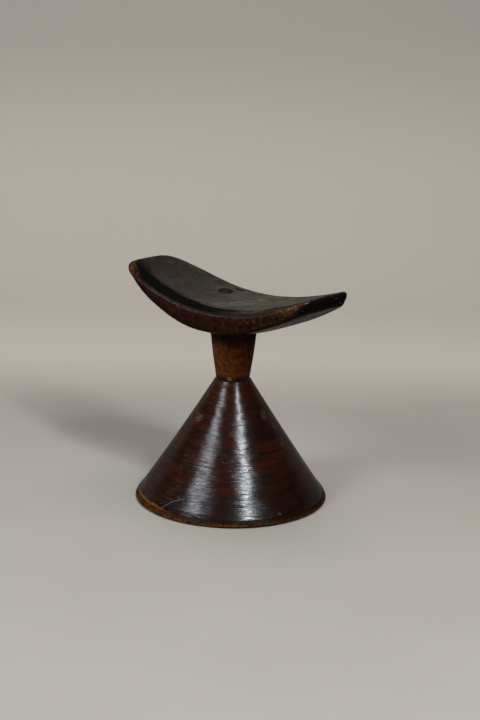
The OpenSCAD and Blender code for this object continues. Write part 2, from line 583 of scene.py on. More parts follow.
def edge_glint(tree, parts, wall, under, edge, ragged):
    """Broken line of polish that hands have left along the pillow's upper edge."""
    upper = remap(tree, under, 0.0, 0.1, 1.0, 0.0)
    fading = remap(tree, parts["X"], -0.015, 0.030, 1.0, 0.45)
    broken = remap(tree, ragged, 0.38, 0.56, 0.1, 1.0)
    outer = maths(tree, "MAXIMUM", remap(tree, wall, 0.40, 0.65),
                  remap(tree, parts["X"], 0.010, 0.035))
    return product(tree, remap(tree, edge, 0.45, 0.8), upper, fading, broken, outer)


def pillow_material(finish):
    material, tree, shader = start_material("Pillow wood")
    black, brown, grime_and_shade = finish.pillow_black, finish.side_brown, finish.grime_and_shade
    place = object_place(tree)
    parts = axes_of(tree, place)
    wall, under, edge, gold, end_grain, pit = (
        own_mask(tree, name) for name in ("wall", "under", "edge", "gold", "end_grain", "pit"))
    upright = turned_axes(tree, place, "Z", "X", "Y")
    fibre = use_group(tree, "Wood fibre", {"Vector": place, "Fineness": 0.55})
    tool = use_group(tree, "Wood fibre", {"Vector": upright, "Fineness": 0.9})
    cloud = use_group(tree, "Patina", {"Vector": place, "Size": 0.020, "Contrast": 0.22})
    rub = use_group(tree, "Patina", {
        "Vector": moved(tree, place, (0.2, 0.4, 0.1)), "Size": 0.007, "Contrast": 0.2})
    wear = use_group(tree, "Edge wear", {
        "Vector": place, "Edge": gold, "Reach": 0.62, "Chip size": 0.0032})
    specks = use_group(tree, "Specks", {"Vector": place, "Spacing": 0.0045, "Share": 0.2})
    dust = use_group(tree, "Specks", {
        "Vector": moved(tree, place, (0.3, 0.1, 0.2)), "Spacing": 0.0026, "Share": 0.28})
    hair = use_group(tree, "Scratches", {"Vector": place, "Length": 0.05, "Share": 0.5})
    ragged = noise_value(tree, place, scale=160.0, detail=4.0, roughness=0.65)
    broad = noise_value(tree, place, scale=48.0, detail=2.0)
    band = near_edge_dark_reflection(tree, parts, wall, under, edge, ragged, broad)
    glint = edge_glint(tree, parts, wall, under, edge, ragged)
    fleck = noise_value(tree, stretched(tree, place, (1.0, 1.0, 0.45)), scale=620.0,
                        detail=2.0, roughness=0.7)
    olive_fleck = noise_value(tree, stretched(tree, place, (1.0, 1.0, 0.6)), scale=330.0,
                              detail=2.0, roughness=0.6)
    # Painted shadow and grime along the lower edge of the sides, over the underside
    low_edge_shadow_and_grime = maths(tree, "MULTIPLY", remap(tree, under, 0.02, 0.35), wall)
    dusty = maths(tree, "MULTIPLY", dust["Mask"],
                  maths(tree, "MULTIPLY_ADD", end_grain, 0.55, 0.03))

    top = blend_colours(tree, fibre["Streak"], scaled(black, 0.35), scaled(black, 2.0))
    top = lay_over(tree, top, (
        (cloud["Cloud"], 0.45, HAZE),
        (rub["Cloud"], 0.30, scaled(brown, 0.70)),
        # painted sheen: the top's right half painted lighter brown
        (remap(tree, parts["X"], -0.035, 0.005, 0.0, 0.5), 1.0, SHEEN_BROWN)))
    side = blend_colours(tree, tool["Streak"], scaled(brown, 0.06), scaled(brown, 1.25))
    side = lay_over(tree, side, (
        (remap(tree, fleck, 0.50, 0.60, 0.0, 0.75), 1.0, scaled(brown, 2.3)),
        (remap(tree, olive_fleck, 0.52, 0.64, 0.0, 0.7), 1.0, OLIVE),
        (rub["Cloud"], 0.5, scaled(brown, 0.25)),
        # painted shadow and grime at the lower edge of the sides
        (low_edge_shadow_and_grime, 1.0, scaled(grime_and_shade, 0.6))))
    golden = blend_colours(tree, remap(tree, fleck, 0.40, 0.62), PORE,
                           scaled(finish.worn_gold, 0.75))
    golden = blend_colours(tree, remap(tree, olive_fleck, 0.45, 0.6, 0.0, 0.7), golden,
                           OLIVE_GOLD)
    colour = lay_over(tree, blend_colours(tree, wall, top, side), (
        (under, 0.8, scaled(brown, 0.5)),
        # painted dark reflection inside the near edge
        (band, 1.0, scaled(grime_and_shade, 0.4)),
        (wear["Mask"], 1.0, golden),
        (end_grain, 0.95, scaled(grime_and_shade, 0.6)),
        (specks["Mask"], 0.7, scaled(grime_and_shade, 0.7)),
        (dusty, 1.0, DUST),
        (hair["Mask"], 0.35, scaled(brown, 1.5)),
        (pit, 0.95, scaled(grime_and_shade, 0.4))))
    tree.links.new(colour, shader.inputs["Base Color"])

    rough = add_masks(tree, remap(tree, cloud["Cloud"], 0.0, 1.0, 0.37, 0.47), (
        (fibre["Streak"], 0.06), (rub["Cloud"], 0.08), (end_grain, 0.35), (wall, 0.08),
        (band, 0.30), (under, 0.1), (pit, 0.35)))
    tree.links.new(rough, shader.inputs["Roughness"])
    shader.inputs["Specular IOR Level"].default_value = 0.05
    hand_gloss = product(
        tree, remap(tree, rub["Cloud"], 0.0, 1.0, 0.54, 0.22),
        remap(tree, fibre["Streak"], 0.0, 1.0, 1.35, 0.65),
        remap(tree, cloud["Cloud"], 0.0, 1.0, 1.3, 0.7),
        remap(tree, parts["X"], -0.035, 0.005, 1.0, 1.45))
    hand_gloss = add_masks(tree, hand_gloss, ((wall, -0.85), (band, -0.7)), clamp=True)
    hand_gloss = add_masks(tree, hand_gloss, (
        (glint, 1.0), (pit, -0.9), (under, 0.10), (end_grain, -0.5)), clamp=True)
    tree.links.new(hand_gloss, shader.inputs["Coat Weight"])
    shader.inputs["Coat Roughness"].default_value = 0.24
    height = maths(tree, "MULTIPLY_ADD", tool["Height"], wall,
                   maths(tree, "MULTIPLY", fibre["Height"], 0.5))
    height = maths(tree, "SUBTRACT", height, maths(tree, "MULTIPLY", specks["Mask"], 0.4))
    add_bump(tree, shader, height, 0.5, 0.0005)
    return material


def knot_material(finish):
    """Fine rings round the knot's own heart, with a dark rim."""
    material, tree, shader = start_material("Knot wood")
    ring_pitch = 1.1 * MM
    offset = vector_maths(tree, "SUBTRACT", object_place(tree), tuple(KNOT_PLACE))
    parts = axes_of(tree, offset)
    flat = add_node(tree, "ShaderNodeCombineXYZ", {0: parts["X"], 1: parts["Y"]}).outputs[0]
    sway = noise_value(tree, flat, scale=300.0, detail=3.0)
    reach = maths(tree, "MULTIPLY_ADD", sway, 0.0016, vector_maths(tree, "LENGTH", flat))
    ring = maths(tree, "SINE", maths(tree, "MULTIPLY", reach, math.tau / ring_pitch))
    ring = maths(tree, "MULTIPLY_ADD", ring, 0.5, 0.5)
    rim = remap(tree, reach, 0.0032, 0.0044, smooth=True)
    colour = blend_colours(tree, ring, scaled(finish.pillow_black, 0.7),
                           scaled(finish.pillow_black, 2.6))
    colour = blend_colours(tree, rim, colour, scaled(finish.grime_and_shade, 0.5))
    tree.links.new(colour, shader.inputs["Base Color"])
    tree.links.new(remap(tree, ring, 0.0, 1.0, 0.50, 0.65), shader.inputs["Roughness"])
    shader.inputs["Specular IOR Level"].default_value = 0.10
    add_bump(tree, shader, ring, 0.6, 0.0003)
    return material


def neck_material(finish):
    """Bare orange wood, darker under the pillow as painted shadow and soot, darker on its far side
    as painted shade, and with a crust at its foot.
    """
    material, tree, shader = start_material("Neck wood")
    orange, brown = finish.neck_orange, finish.side_brown
    place = object_place(tree)
    upright = turned_axes(tree, place, "Z", "X", "Y")
    height_up = axes_of(tree, place)["Z"]
    fibre = use_group(tree, "Wood fibre", {"Vector": upright, "Fineness": 0.9})
    cloud = use_group(tree, "Patina", {"Vector": place, "Size": 0.010, "Contrast": 0.14})
    stain = use_group(tree, "Patina", {
        "Vector": moved(tree, place, (0.5, 0.2, 0.3)), "Size": 0.0035, "Contrast": 0.14})
    specks = use_group(tree, "Specks", {"Vector": place, "Spacing": 0.0026, "Share": 0.45})
    crust = use_group(tree, "Specks", {"Vector": place, "Spacing": 0.0018, "Share": 0.5})
    resin = use_group(tree, "Spot", {
        "Vector": place, "Place": RESIN_PLACE, "Reach": 0.0020, "Grit": 0.6})
    ragged = noise_value(tree, place, scale=320.0, detail=5.0, roughness=0.7)
    dapple = noise_value(tree, place, scale=230.0, detail=4.0, roughness=0.6)
    shaded_side = vector_maths(tree, "DOT_PRODUCT", place, SHADED_SIDE)
    # Painted shadow and soot: darker towards the top, under the pillow
    top_shade = remap(tree, maths(tree, "MULTIPLY_ADD", ragged, 0.012, height_up),
                      NECK_HIGH.z - 0.015, NECK_HIGH.z + 0.001, smooth=True)
    foot_dirt = remap(tree, maths(tree, "MULTIPLY_ADD", ragged, 0.008, height_up),
                      NECK_LOW.z + 0.0050, NECK_LOW.z + 0.0085, 1.0, 0.0, smooth=True)
    crusty = blend_colours(tree, maths(tree, "MULTIPLY", crust["Mask"], 0.8),
                           scaled(orange, 0.06), NECK_CRUST)

    colour = blend_colours(tree, fibre["Streak"], scaled(orange, 0.45), scaled(orange, 1.25))
    colour = lay_over(tree, colour, (
        (cloud["Cloud"], 0.6, scaled(orange, 0.40)),
        (stain["Cloud"], 0.45, scaled(brown, 0.9)),
        (remap(tree, dapple, 0.50, 0.66, 0.0, 0.65), 1.0, FRESH_ORANGE),
        # painted shade: darker on the far side
        (remap(tree, shaded_side, 0.004, 0.016, 0.0, 0.55), 1.0, scaled(orange, 0.22)),
        (specks["Mask"], 0.8, opaque(finish.grime_and_shade)),
        (top_shade, 0.92, scaled(brown, 0.25)),
        (foot_dirt, 0.9, crusty),
        (resin["Mask"], 1.0, RESIN)))
    tree.links.new(colour, shader.inputs["Base Color"])
    rough = remap(tree, cloud["Cloud"], 0.0, 1.0, 0.5, 0.66)
    rough = maths(tree, "MULTIPLY_ADD", foot_dirt, -0.22, rough)
    tree.links.new(rough, shader.inputs["Roughness"])
    shader.inputs["Specular IOR Level"].default_value = 0.08
    relief = add_masks(tree, fibre["Height"],
                       ((specks["Mask"], -0.8), (crust["Mask"], foot_dirt)))
    add_bump(tree, shader, relief, 0.6, 0.0006)
    return material


def cone_material(finish):
    """Oiled red-brown wood with scraper rings, red figure with painted light and shade, scars and
    one long scratch.
    """
    material, tree, shader = start_material("Cone wood")
    brown, gold, grime_and_shade = finish.cone_brown, finish.worn_gold, finish.grime_and_shade
    place = object_place(tree)
    height_up = axes_of(tree, place)["Z"]
    rings = use_group(tree, "Growth rings", {
        "Vector": place, "Pitch": 0.0046, "Waviness": 1.2, "Heart X": 0.074,
        "Heart Y": -0.095})
    blush = use_group(tree, "Patina", {
        "Vector": moved(tree, place, (0.7, 0.3, 0.0)), "Size": 0.016, "Contrast": 0.16})
    marks = use_group(tree, "Scraper rings", {"Vector": place, "Pitch": 0.0012})
    figure = use_group(tree, "Turned figure", {
        "Vector": place, "Height": 0.0042, "Contrast": 0.12})
    dark_figure = use_group(tree, "Turned figure", {
        "Vector": moved(tree, place, (0.2, 0.1, 0.3)), "Height": 0.0019, "Contrast": 0.12})
    cloud = use_group(tree, "Patina", {"Vector": place, "Size": 0.026, "Contrast": 0.14})
    specks = use_group(tree, "Specks", {"Vector": place, "Spacing": 0.008, "Share": 0.10})
    crust = use_group(tree, "Specks", {"Vector": place, "Spacing": 0.0021, "Share": 0.6})
    hair = use_group(tree, "Scratches", {"Vector": place, "Length": 0.03, "Share": 0.4})
    scratch = use_group(tree, "Long scratch", {"Vector": place, **SCRATCH})
    scar, far_scar, low_scar = (
        use_group(tree, "Spot", {"Vector": place, "Place": spot, "Reach": reach, "Grit": grit})
        for spot, reach, grit in ((SCAR_PLACE, 0.0040, 1.1), (FAR_SCAR_PLACE, 0.0040, 1.1),
                                  (LOW_SCAR_PLACE, 0.0019, 0.5)))
    ragged = noise_value(tree, place, scale=300.0, detail=5.0, roughness=0.7)
    facets = noise_value(tree, stretched(tree, place, (55.0, 55.0, 210.0)), detail=3.0,
                         roughness=0.6)
    patches = noise_value(tree, stretched(tree, place, (40.0, 40.0, 75.0)), detail=1.0)
    worn_side = remap(tree, vector_maths(tree, "DOT_PRODUCT", place, WINDOW_SIDE), 0.052, 0.066)
    foot = remap(tree, height_up, CONE_LOW.z - 0.001, CONE_LOW.z + 0.0045, 1.0, 0.0)
    wear = use_group(tree, "Edge wear", {
        "Vector": place, "Edge": maths(tree, "MULTIPLY", foot, worn_side),
        "Reach": 0.50, "Chip size": 0.0022})
    lit_zone = maths(tree, "MULTIPLY", remap(tree, height_up, 0.010, 0.040, 0.20, 1.0),
                     remap(tree, height_up, 0.060, 0.085, 1.0, 0.3))
    shaded_side = vector_maths(tree, "DOT_PRODUCT", place, SHADED_SIDE)
    # Painted light and shade: the red is stronger in the lit middle band and on the left, lit side,
    # weaker on the shaded far side
    red = maths(tree, "MULTIPLY_ADD", figure["Streak"], 0.45,
                maths(tree, "MULTIPLY", blush["Cloud"], 0.65), clamp=True)
    red = product(tree, red, lit_zone, remap(tree, shaded_side, -0.020, 0.025, 1.35, 0.75))
    warm_top = remap(tree, height_up, CONE_HIGH.z - 0.022, CONE_HIGH.z, 0.0, 0.55)
    top_dirt = remap(tree, maths(tree, "MULTIPLY_ADD", ragged, 0.004, height_up),
                     CONE_HIGH.z - 0.0005, CONE_HIGH.z + 0.0015, smooth=True)
    # Pale crust on the collar under the neck, partly painted highlight where the collar catches
    # light
    collar = remap(tree, maths(tree, "MULTIPLY_ADD", ragged, 0.007, height_up),
                   CONE_HIGH.z - 0.0005, CONE_HIGH.z + 0.0035)
    crust_and_highlight = maths(tree, "MULTIPLY", collar,
                    maths(tree, "MULTIPLY_ADD", crust["Mask"], 0.9, 0.1))

    colour = blend_colours(tree, cloud["Cloud"], opaque(brown), scaled(brown, 0.45))
    colour = lay_over(tree, colour, (
        (red, 0.8, opaque(finish.cone_red)),
        (dark_figure["Streak"], 0.7, scaled(brown, 0.25)),
        (rings["Ring"], 0.12, scaled(brown, 0.3)),
        (warm_top, 1.0, scaled(finish.neck_orange, 0.45)),
        (marks["Mark"], 0.35, opaque(grime_and_shade)),
        (specks["Mask"], 0.5, scaled(gold, 0.5)),
        (scar["Mask"], 0.60, OLD_SCAR),
        (far_scar["Mask"], 0.28, OLD_SCAR),
        (low_scar["Mask"], 0.30, OLD_SCAR),
        (hair["Mask"], 0.25, scaled(gold, 0.6)),
        (scratch["Mask"], 0.65, SCRATCHED),
        (wear["Mask"], 1.0, opaque(gold)),
        (top_dirt, 1.0, opaque(grime_and_shade)),
        (crust_and_highlight, 1.0, CONE_CRUST_AND_HIGHLIGHT)))
    tree.links.new(colour, shader.inputs["Base Color"])

    rough = add_masks(tree, remap(tree, cloud["Cloud"], 0.0, 1.0, 0.14, 0.19), (
        (marks["Mark"], 0.04), (dark_figure["Streak"], 0.04), (wear["Mask"], 0.25),
        (scar["Mask"], 0.25), (far_scar["Mask"], 0.25), (low_scar["Mask"], 0.25),
        (scratch["Mask"], 0.25), (collar, 0.10)))
    tree.links.new(rough, shader.inputs["Roughness"])
    shader.inputs["Specular IOR Level"].default_value = 0.3
    relief = add_masks(tree, marks["Height"], (
        (scratch["Mask"], -0.5), (hair["Mask"], -0.2), (scar["Mask"], -0.5),
        (far_scar["Mask"], -0.5), (dark_figure["Streak"], -0.25), (facets, 0.9),
        (patches, 2.2)))
    add_bump(tree, shader, relief, 0.6, 0.0005)
    return material


def rim_material(finish):
    """Worn golden band: bare flecked wood where the varnish has gone, darker at its foot from dirt
    and painted contact shadow.
    """
    material, tree, shader = start_material("Rim wood")
    varnished = scaled(finish.cone_brown, 0.6)
    place = object_place(tree)
    upright = turned_axes(tree, place, "Z", "X", "Y")
    height_up = axes_of(tree, place)["Z"]
    fibre = use_group(tree, "Wood fibre", {"Vector": upright, "Fineness": 0.8})
    cloud = use_group(tree, "Patina", {"Vector": place, "Size": 0.012, "Contrast": 0.16})
    specks = use_group(tree, "Specks", {"Vector": place, "Spacing": 0.0032, "Share": 0.4})
    # Dirt and painted contact shadow: the rim darker over its lowest 2 mm
    dirt = use_group(tree, "Edge wear", {
        "Vector": place, "Edge": remap(tree, height_up, 0.0004, 0.0024, 1.0, 0.0),
        "Reach": 0.55, "Chip size": 0.004})
    front = vector_maths(tree, "DOT_PRODUCT", place, FRONT_SIDE)
    worn_side = remap(tree, front, -0.02, 0.06, 0.35, 1.0)
    left_mark, right_mark = (
        use_group(tree, "Spot", {"Vector": place, "Place": spot, "Reach": 0.0016, "Grit": 0.2})
        for spot in RIM_MARK_PLACES)
    top = use_group(tree, "Edge wear", {
        "Vector": place, "Edge": remap(tree, height_up, 0.0014, 0.0042), "Reach": 0.55,
        "Chip size": 0.0022})
    fleck_side = remap(tree, vector_maths(tree, "DOT_PRODUCT", place, WINDOW_SIDE), 0.052, 0.066)
    varnish = maths(tree, "MULTIPLY_ADD", fleck_side, -0.8, top["Mask"], clamp=True)
    fleck = noise_value(tree, place, scale=560.0, detail=3.0, roughness=0.7)
    hidden = maths(tree, "SUBTRACT", 1.0, maths(
        tree, "MULTIPLY", worn_side, remap(tree, cloud["Cloud"], 0.0, 1.0, 1.0, 0.35)))

    colour = blend_colours(tree, remap(tree, fleck, 0.42, 0.57), RIM_PORE, BARE_RIM)
    colour = lay_over(tree, colour, ((hidden, 1.0, varnished), (varnish, 1.0, varnished)))
    # dirt and painted contact shadow at the foot, with specks and marks
    colour = lay_over(tree, colour, [(mark["Mask"], 0.85, opaque(finish.grime_and_shade))
                                     for mark in (specks, dirt, left_mark, right_mark)])
    tree.links.new(colour, shader.inputs["Base Color"])
    rough = remap(tree, fibre["Streak"], 0.0, 1.0, 0.42, 0.6)
    rough = maths(tree, "MULTIPLY_ADD", varnish, -0.22, rough)
    tree.links.new(rough, shader.inputs["Roughness"])
    shader.inputs["Specular IOR Level"].default_value = 0.03
    relief = maths(tree, "MULTIPLY_ADD", specks["Mask"], -0.7, fibre["Height"])
    add_bump(tree, shader, relief, 0.7, 0.0006)
    return material


# ------------------------------------------------------------- round parts

def make_turning_tree():
    """Geometry nodes that turn a profile round the upright axis, with hand-made wobble.

    The profile is a chain of points: x is the radius and z the height, from the axis
    below to the axis above."""
    tree = bpy.data.node_groups.new("Turned wood", "GeometryNodeTree")
    sockets = (
        ("Profile", "NodeSocketGeometry"), ("Rows", "NodeSocketInt"),
        ("Steps around", "NodeSocketInt"), ("Wobble", "NodeSocketFloat"),
        ("Ring depth", "NodeSocketFloat"), ("Ring pitch", "NodeSocketFloat"),
        ("Seed", "NodeSocketFloat"), ("Place", "NodeSocketVector"),
        ("Finish", "NodeSocketMaterial"))
    for title, kind in sockets:
        tree.interface.new_socket(title, in_out="INPUT", socket_type=kind)
    tree.interface.new_socket("Turned", in_out="OUTPUT", socket_type="NodeSocketGeometry")
    given = tree.nodes.new("NodeGroupInput").outputs
    columns = maths(tree, "ADD", given["Steps around"], 1.0)
    sheet = add_node(tree, "GeometryNodeMeshGrid", {
        "Size X": 1.0, "Size Y": 1.0, "Vertices X": columns, "Vertices Y": given["Rows"]})
    flat = axes_of(tree, add_node(tree, "GeometryNodeInputPosition").outputs[0])
    turn = maths(tree, "MULTIPLY", maths(tree, "ADD", flat["X"], 0.5), math.tau)
    last_row = maths(tree, "SUBTRACT", given["Rows"], 1.0)
    row = maths(tree, "ROUND",
                maths(tree, "MULTIPLY", maths(tree, "ADD", flat["Y"], 0.5), last_row))
    point = add_node(tree, "GeometryNodeSampleIndex", {
        "Geometry": given["Profile"], "Index": row,
        "Value": add_node(tree, "GeometryNodeInputPosition").outputs[0]},
        data_type="FLOAT_VECTOR", domain="POINT")
    profile = axes_of(tree, point.outputs[0])
    outward = add_node(tree, "ShaderNodeCombineXYZ", {
        0: maths(tree, "COSINE", turn), 1: maths(tree, "SINE", turn)}).outputs[0]
    true_place = vector_maths(tree, "ADD",
                              vector_maths(tree, "SCALE", outward, scale=profile["X"]),
                              add_node(tree, "ShaderNodeCombineXYZ",
                                       {2: profile["Z"]}).outputs[0])
    seeded = vector_maths(tree, "ADD", true_place, add_node(
        tree, "ShaderNodeCombineXYZ", {0: given["Seed"], 1: given["Seed"]}).outputs[0])
    sway = maths(tree, "SUBTRACT", noise_value(
        tree, stretched(tree, seeded, (38.0, 38.0, 26.0)), detail=2.5), 0.5)
    seeded_axes = axes_of(tree, seeded)
    ring_space = add_node(tree, "ShaderNodeCombineXYZ", {
        0: maths(tree, "MULTIPLY", seeded_axes["X"], 20.0),
        1: maths(tree, "MULTIPLY", seeded_axes["Y"], 20.0),
        2: maths(tree, "DIVIDE", profile["Z"], given["Ring pitch"])}).outputs[0]
    ripple = maths(tree, "SUBTRACT", noise_value(tree, ring_space, detail=1.0), 0.5)
    push = maths(tree, "ADD", maths(tree, "MULTIPLY", sway, given["Wobble"]),
                 maths(tree, "MULTIPLY", ripple, given["Ring depth"]))
    fade = maths(tree, "MULTIPLY", profile["X"], 1.0 / (4.0 * MM), clamp=True)
    pushed = vector_maths(tree, "ADD", true_place, vector_maths(
        tree, "SCALE", outward, scale=maths(tree, "MULTIPLY", push, fade)))
    placed = vector_maths(tree, "ADD", pushed, given["Place"])
    shaped = add_node(tree, "GeometryNodeSetPosition", {
        "Geometry": sheet.outputs["Mesh"], "Position": placed})
    closed = add_node(tree, "GeometryNodeMergeByDistance", {
        "Geometry": shaped.outputs[0], "Distance": 2e-6})
    smooth = add_node(tree, "GeometryNodeSetShadeSmooth", {"Geometry": closed.outputs[0]})
    real = add_node(tree, "GeometryNodeRealizeInstances", {"Geometry": smooth.outputs[0]})
    finish = add_node(tree, "GeometryNodeSetMaterial", {
        "Geometry": real.outputs[0], "Material": given["Finish"]})
    result = tree.nodes.new("NodeGroupOutput")
    tree.links.new(finish.outputs[0], result.inputs["Turned"])
    return tree


def stretch_of(start, end, count):
    """Evenly spaced points from start up to, but not at, end."""
    steps = np.arange(count) / count
    return [tuple(np.array(start) * (1 - t) + np.array(end) * t) for t in steps]


def bowed_out(side, depth):
    """The same run of points, bowed outwards by this much in its middle."""
    total = len(side)
    return [(r + depth * 4 * (i / total) * (1 - i / total), z) for i, (r, z) in enumerate(side)]


def round_corner(before, corner, after, radius, count):
    """Points of a curve that rounds a corner between two straight runs."""
    before, corner, after = (np.array(p, float) for p in (before, corner, after))
    enter = corner + (before - corner) / np.linalg.norm(before - corner) * radius
    leave = corner + (after - corner) / np.linalg.norm(after - corner) * radius
    steps = np.arange(count + 1) / count
    return [tuple(enter * (1 - t) ** 2 + corner * 2 * t * (1 - t) + leave * t * t)
            for t in steps]


def turn_profile(context, name, profile, material, wobble=1.0, rings=1.0, place=(0, 0, 0),
                 around=None):
    """A plain mesh object, turned from (radius, height) points in metres."""
    turning = context.scene.headrest_turning
    chain = bpy.data.meshes.new(name + " profile")
    points = [(radius, 0.0, height) for radius, height in profile]
    chain.from_pydata(points, [(i, i + 1) for i in range(len(points) - 1)], [])
    source = bpy.data.objects.new(name + " profile", chain)
    context.scene.collection.objects.link(source)
    tree = bpy.data.node_groups.get("Turned wood") or make_turning_tree()
    modifier = source.modifiers.new("Turning", "NODES")
    modifier.node_group = tree
    values = {
        "Rows": len(points), "Steps around": around or turning.around,
        "Wobble": turning.wobble * wobble, "Ring depth": turning.ring_depth * rings,
        "Ring pitch": turning.ring_pitch, "Seed": float(turning.seed),
        "Place": place, "Finish": material}
    for socket in tree.interface.items_tree:
        if socket.in_out == "INPUT" and socket.name in values:
            modifier[socket.identifier] = values[socket.name]
    context.view_layer.update()
    graph = context.evaluated_depsgraph_get()
    mesh = bpy.data.meshes.new_from_object(source.evaluated_get(graph))
    bpy.data.objects.remove(source)
    mesh.name = name
    piece = bpy.data.objects.new(name, mesh)
    context.scene.collection.objects.link(piece)
    face_outward(mesh)
    return piece


def face_outward(mesh):
    """Turns every face out, judged by the sign of the enclosed volume."""
    shell = bmesh.new()
    shell.from_mesh(mesh)
    bmesh.ops.recalc_face_normals(shell, faces=shell.faces)
    if shell.calc_volume(signed=True) < 0:
        bmesh.ops.reverse_faces(shell, faces=shell.faces)
    shell.to_mesh(mesh)
    shell.free()


# ------------------------------------------------------------ carving tools

def mesh_points(mesh):
    flat = np.empty(len(mesh.vertices) * 3)
    mesh.vertices.foreach_get("co", flat)
    return flat.reshape(-1, 3)


def mesh_normals(mesh):
    flat = np.empty(len(mesh.vertices) * 3, np.float32)
    mesh.vertices.foreach_get("normal", flat)
    return flat.reshape(-1, 3).astype(float)


def move_points(mesh, points):
    mesh.vertices.foreach_set("co", points.ravel())
    mesh.update()


def set_mask(mesh, name, values):
    layer = mesh.attributes.new(name, "FLOAT", "POINT")
    layer.data.foreach_set("value", np.clip(values, 0.0, 1.0).astype(np.float32))


def lumps(points, size, seed, octaves=2):
    """Smooth random heights from about -1 to 1, one for each point."""
    shift = Vector((seed * 3.1, seed * 1.7, seed * 0.9))
    heights = np.empty(len(points))
    for index, point in enumerate(points / size):
        where = Vector(point) + shift
        heights[index] = noise.fractal(where, 1.0, 2.0, octaves)
    return heights


def soft_step(values, low, high):
    t = np.clip((values - low) / (high - low), 0.0, 1.0)
    return t * t * (3.0 - 2.0 * t)


def dent(points, centre, size, depth):
    """Inward depth of a round dent at each point."""
    reach = np.linalg.norm((points - np.array(centre)) / np.array(size), axis=1)
    return depth * np.exp(-reach ** 2)


# ----------------------------------------------------------------- pillow

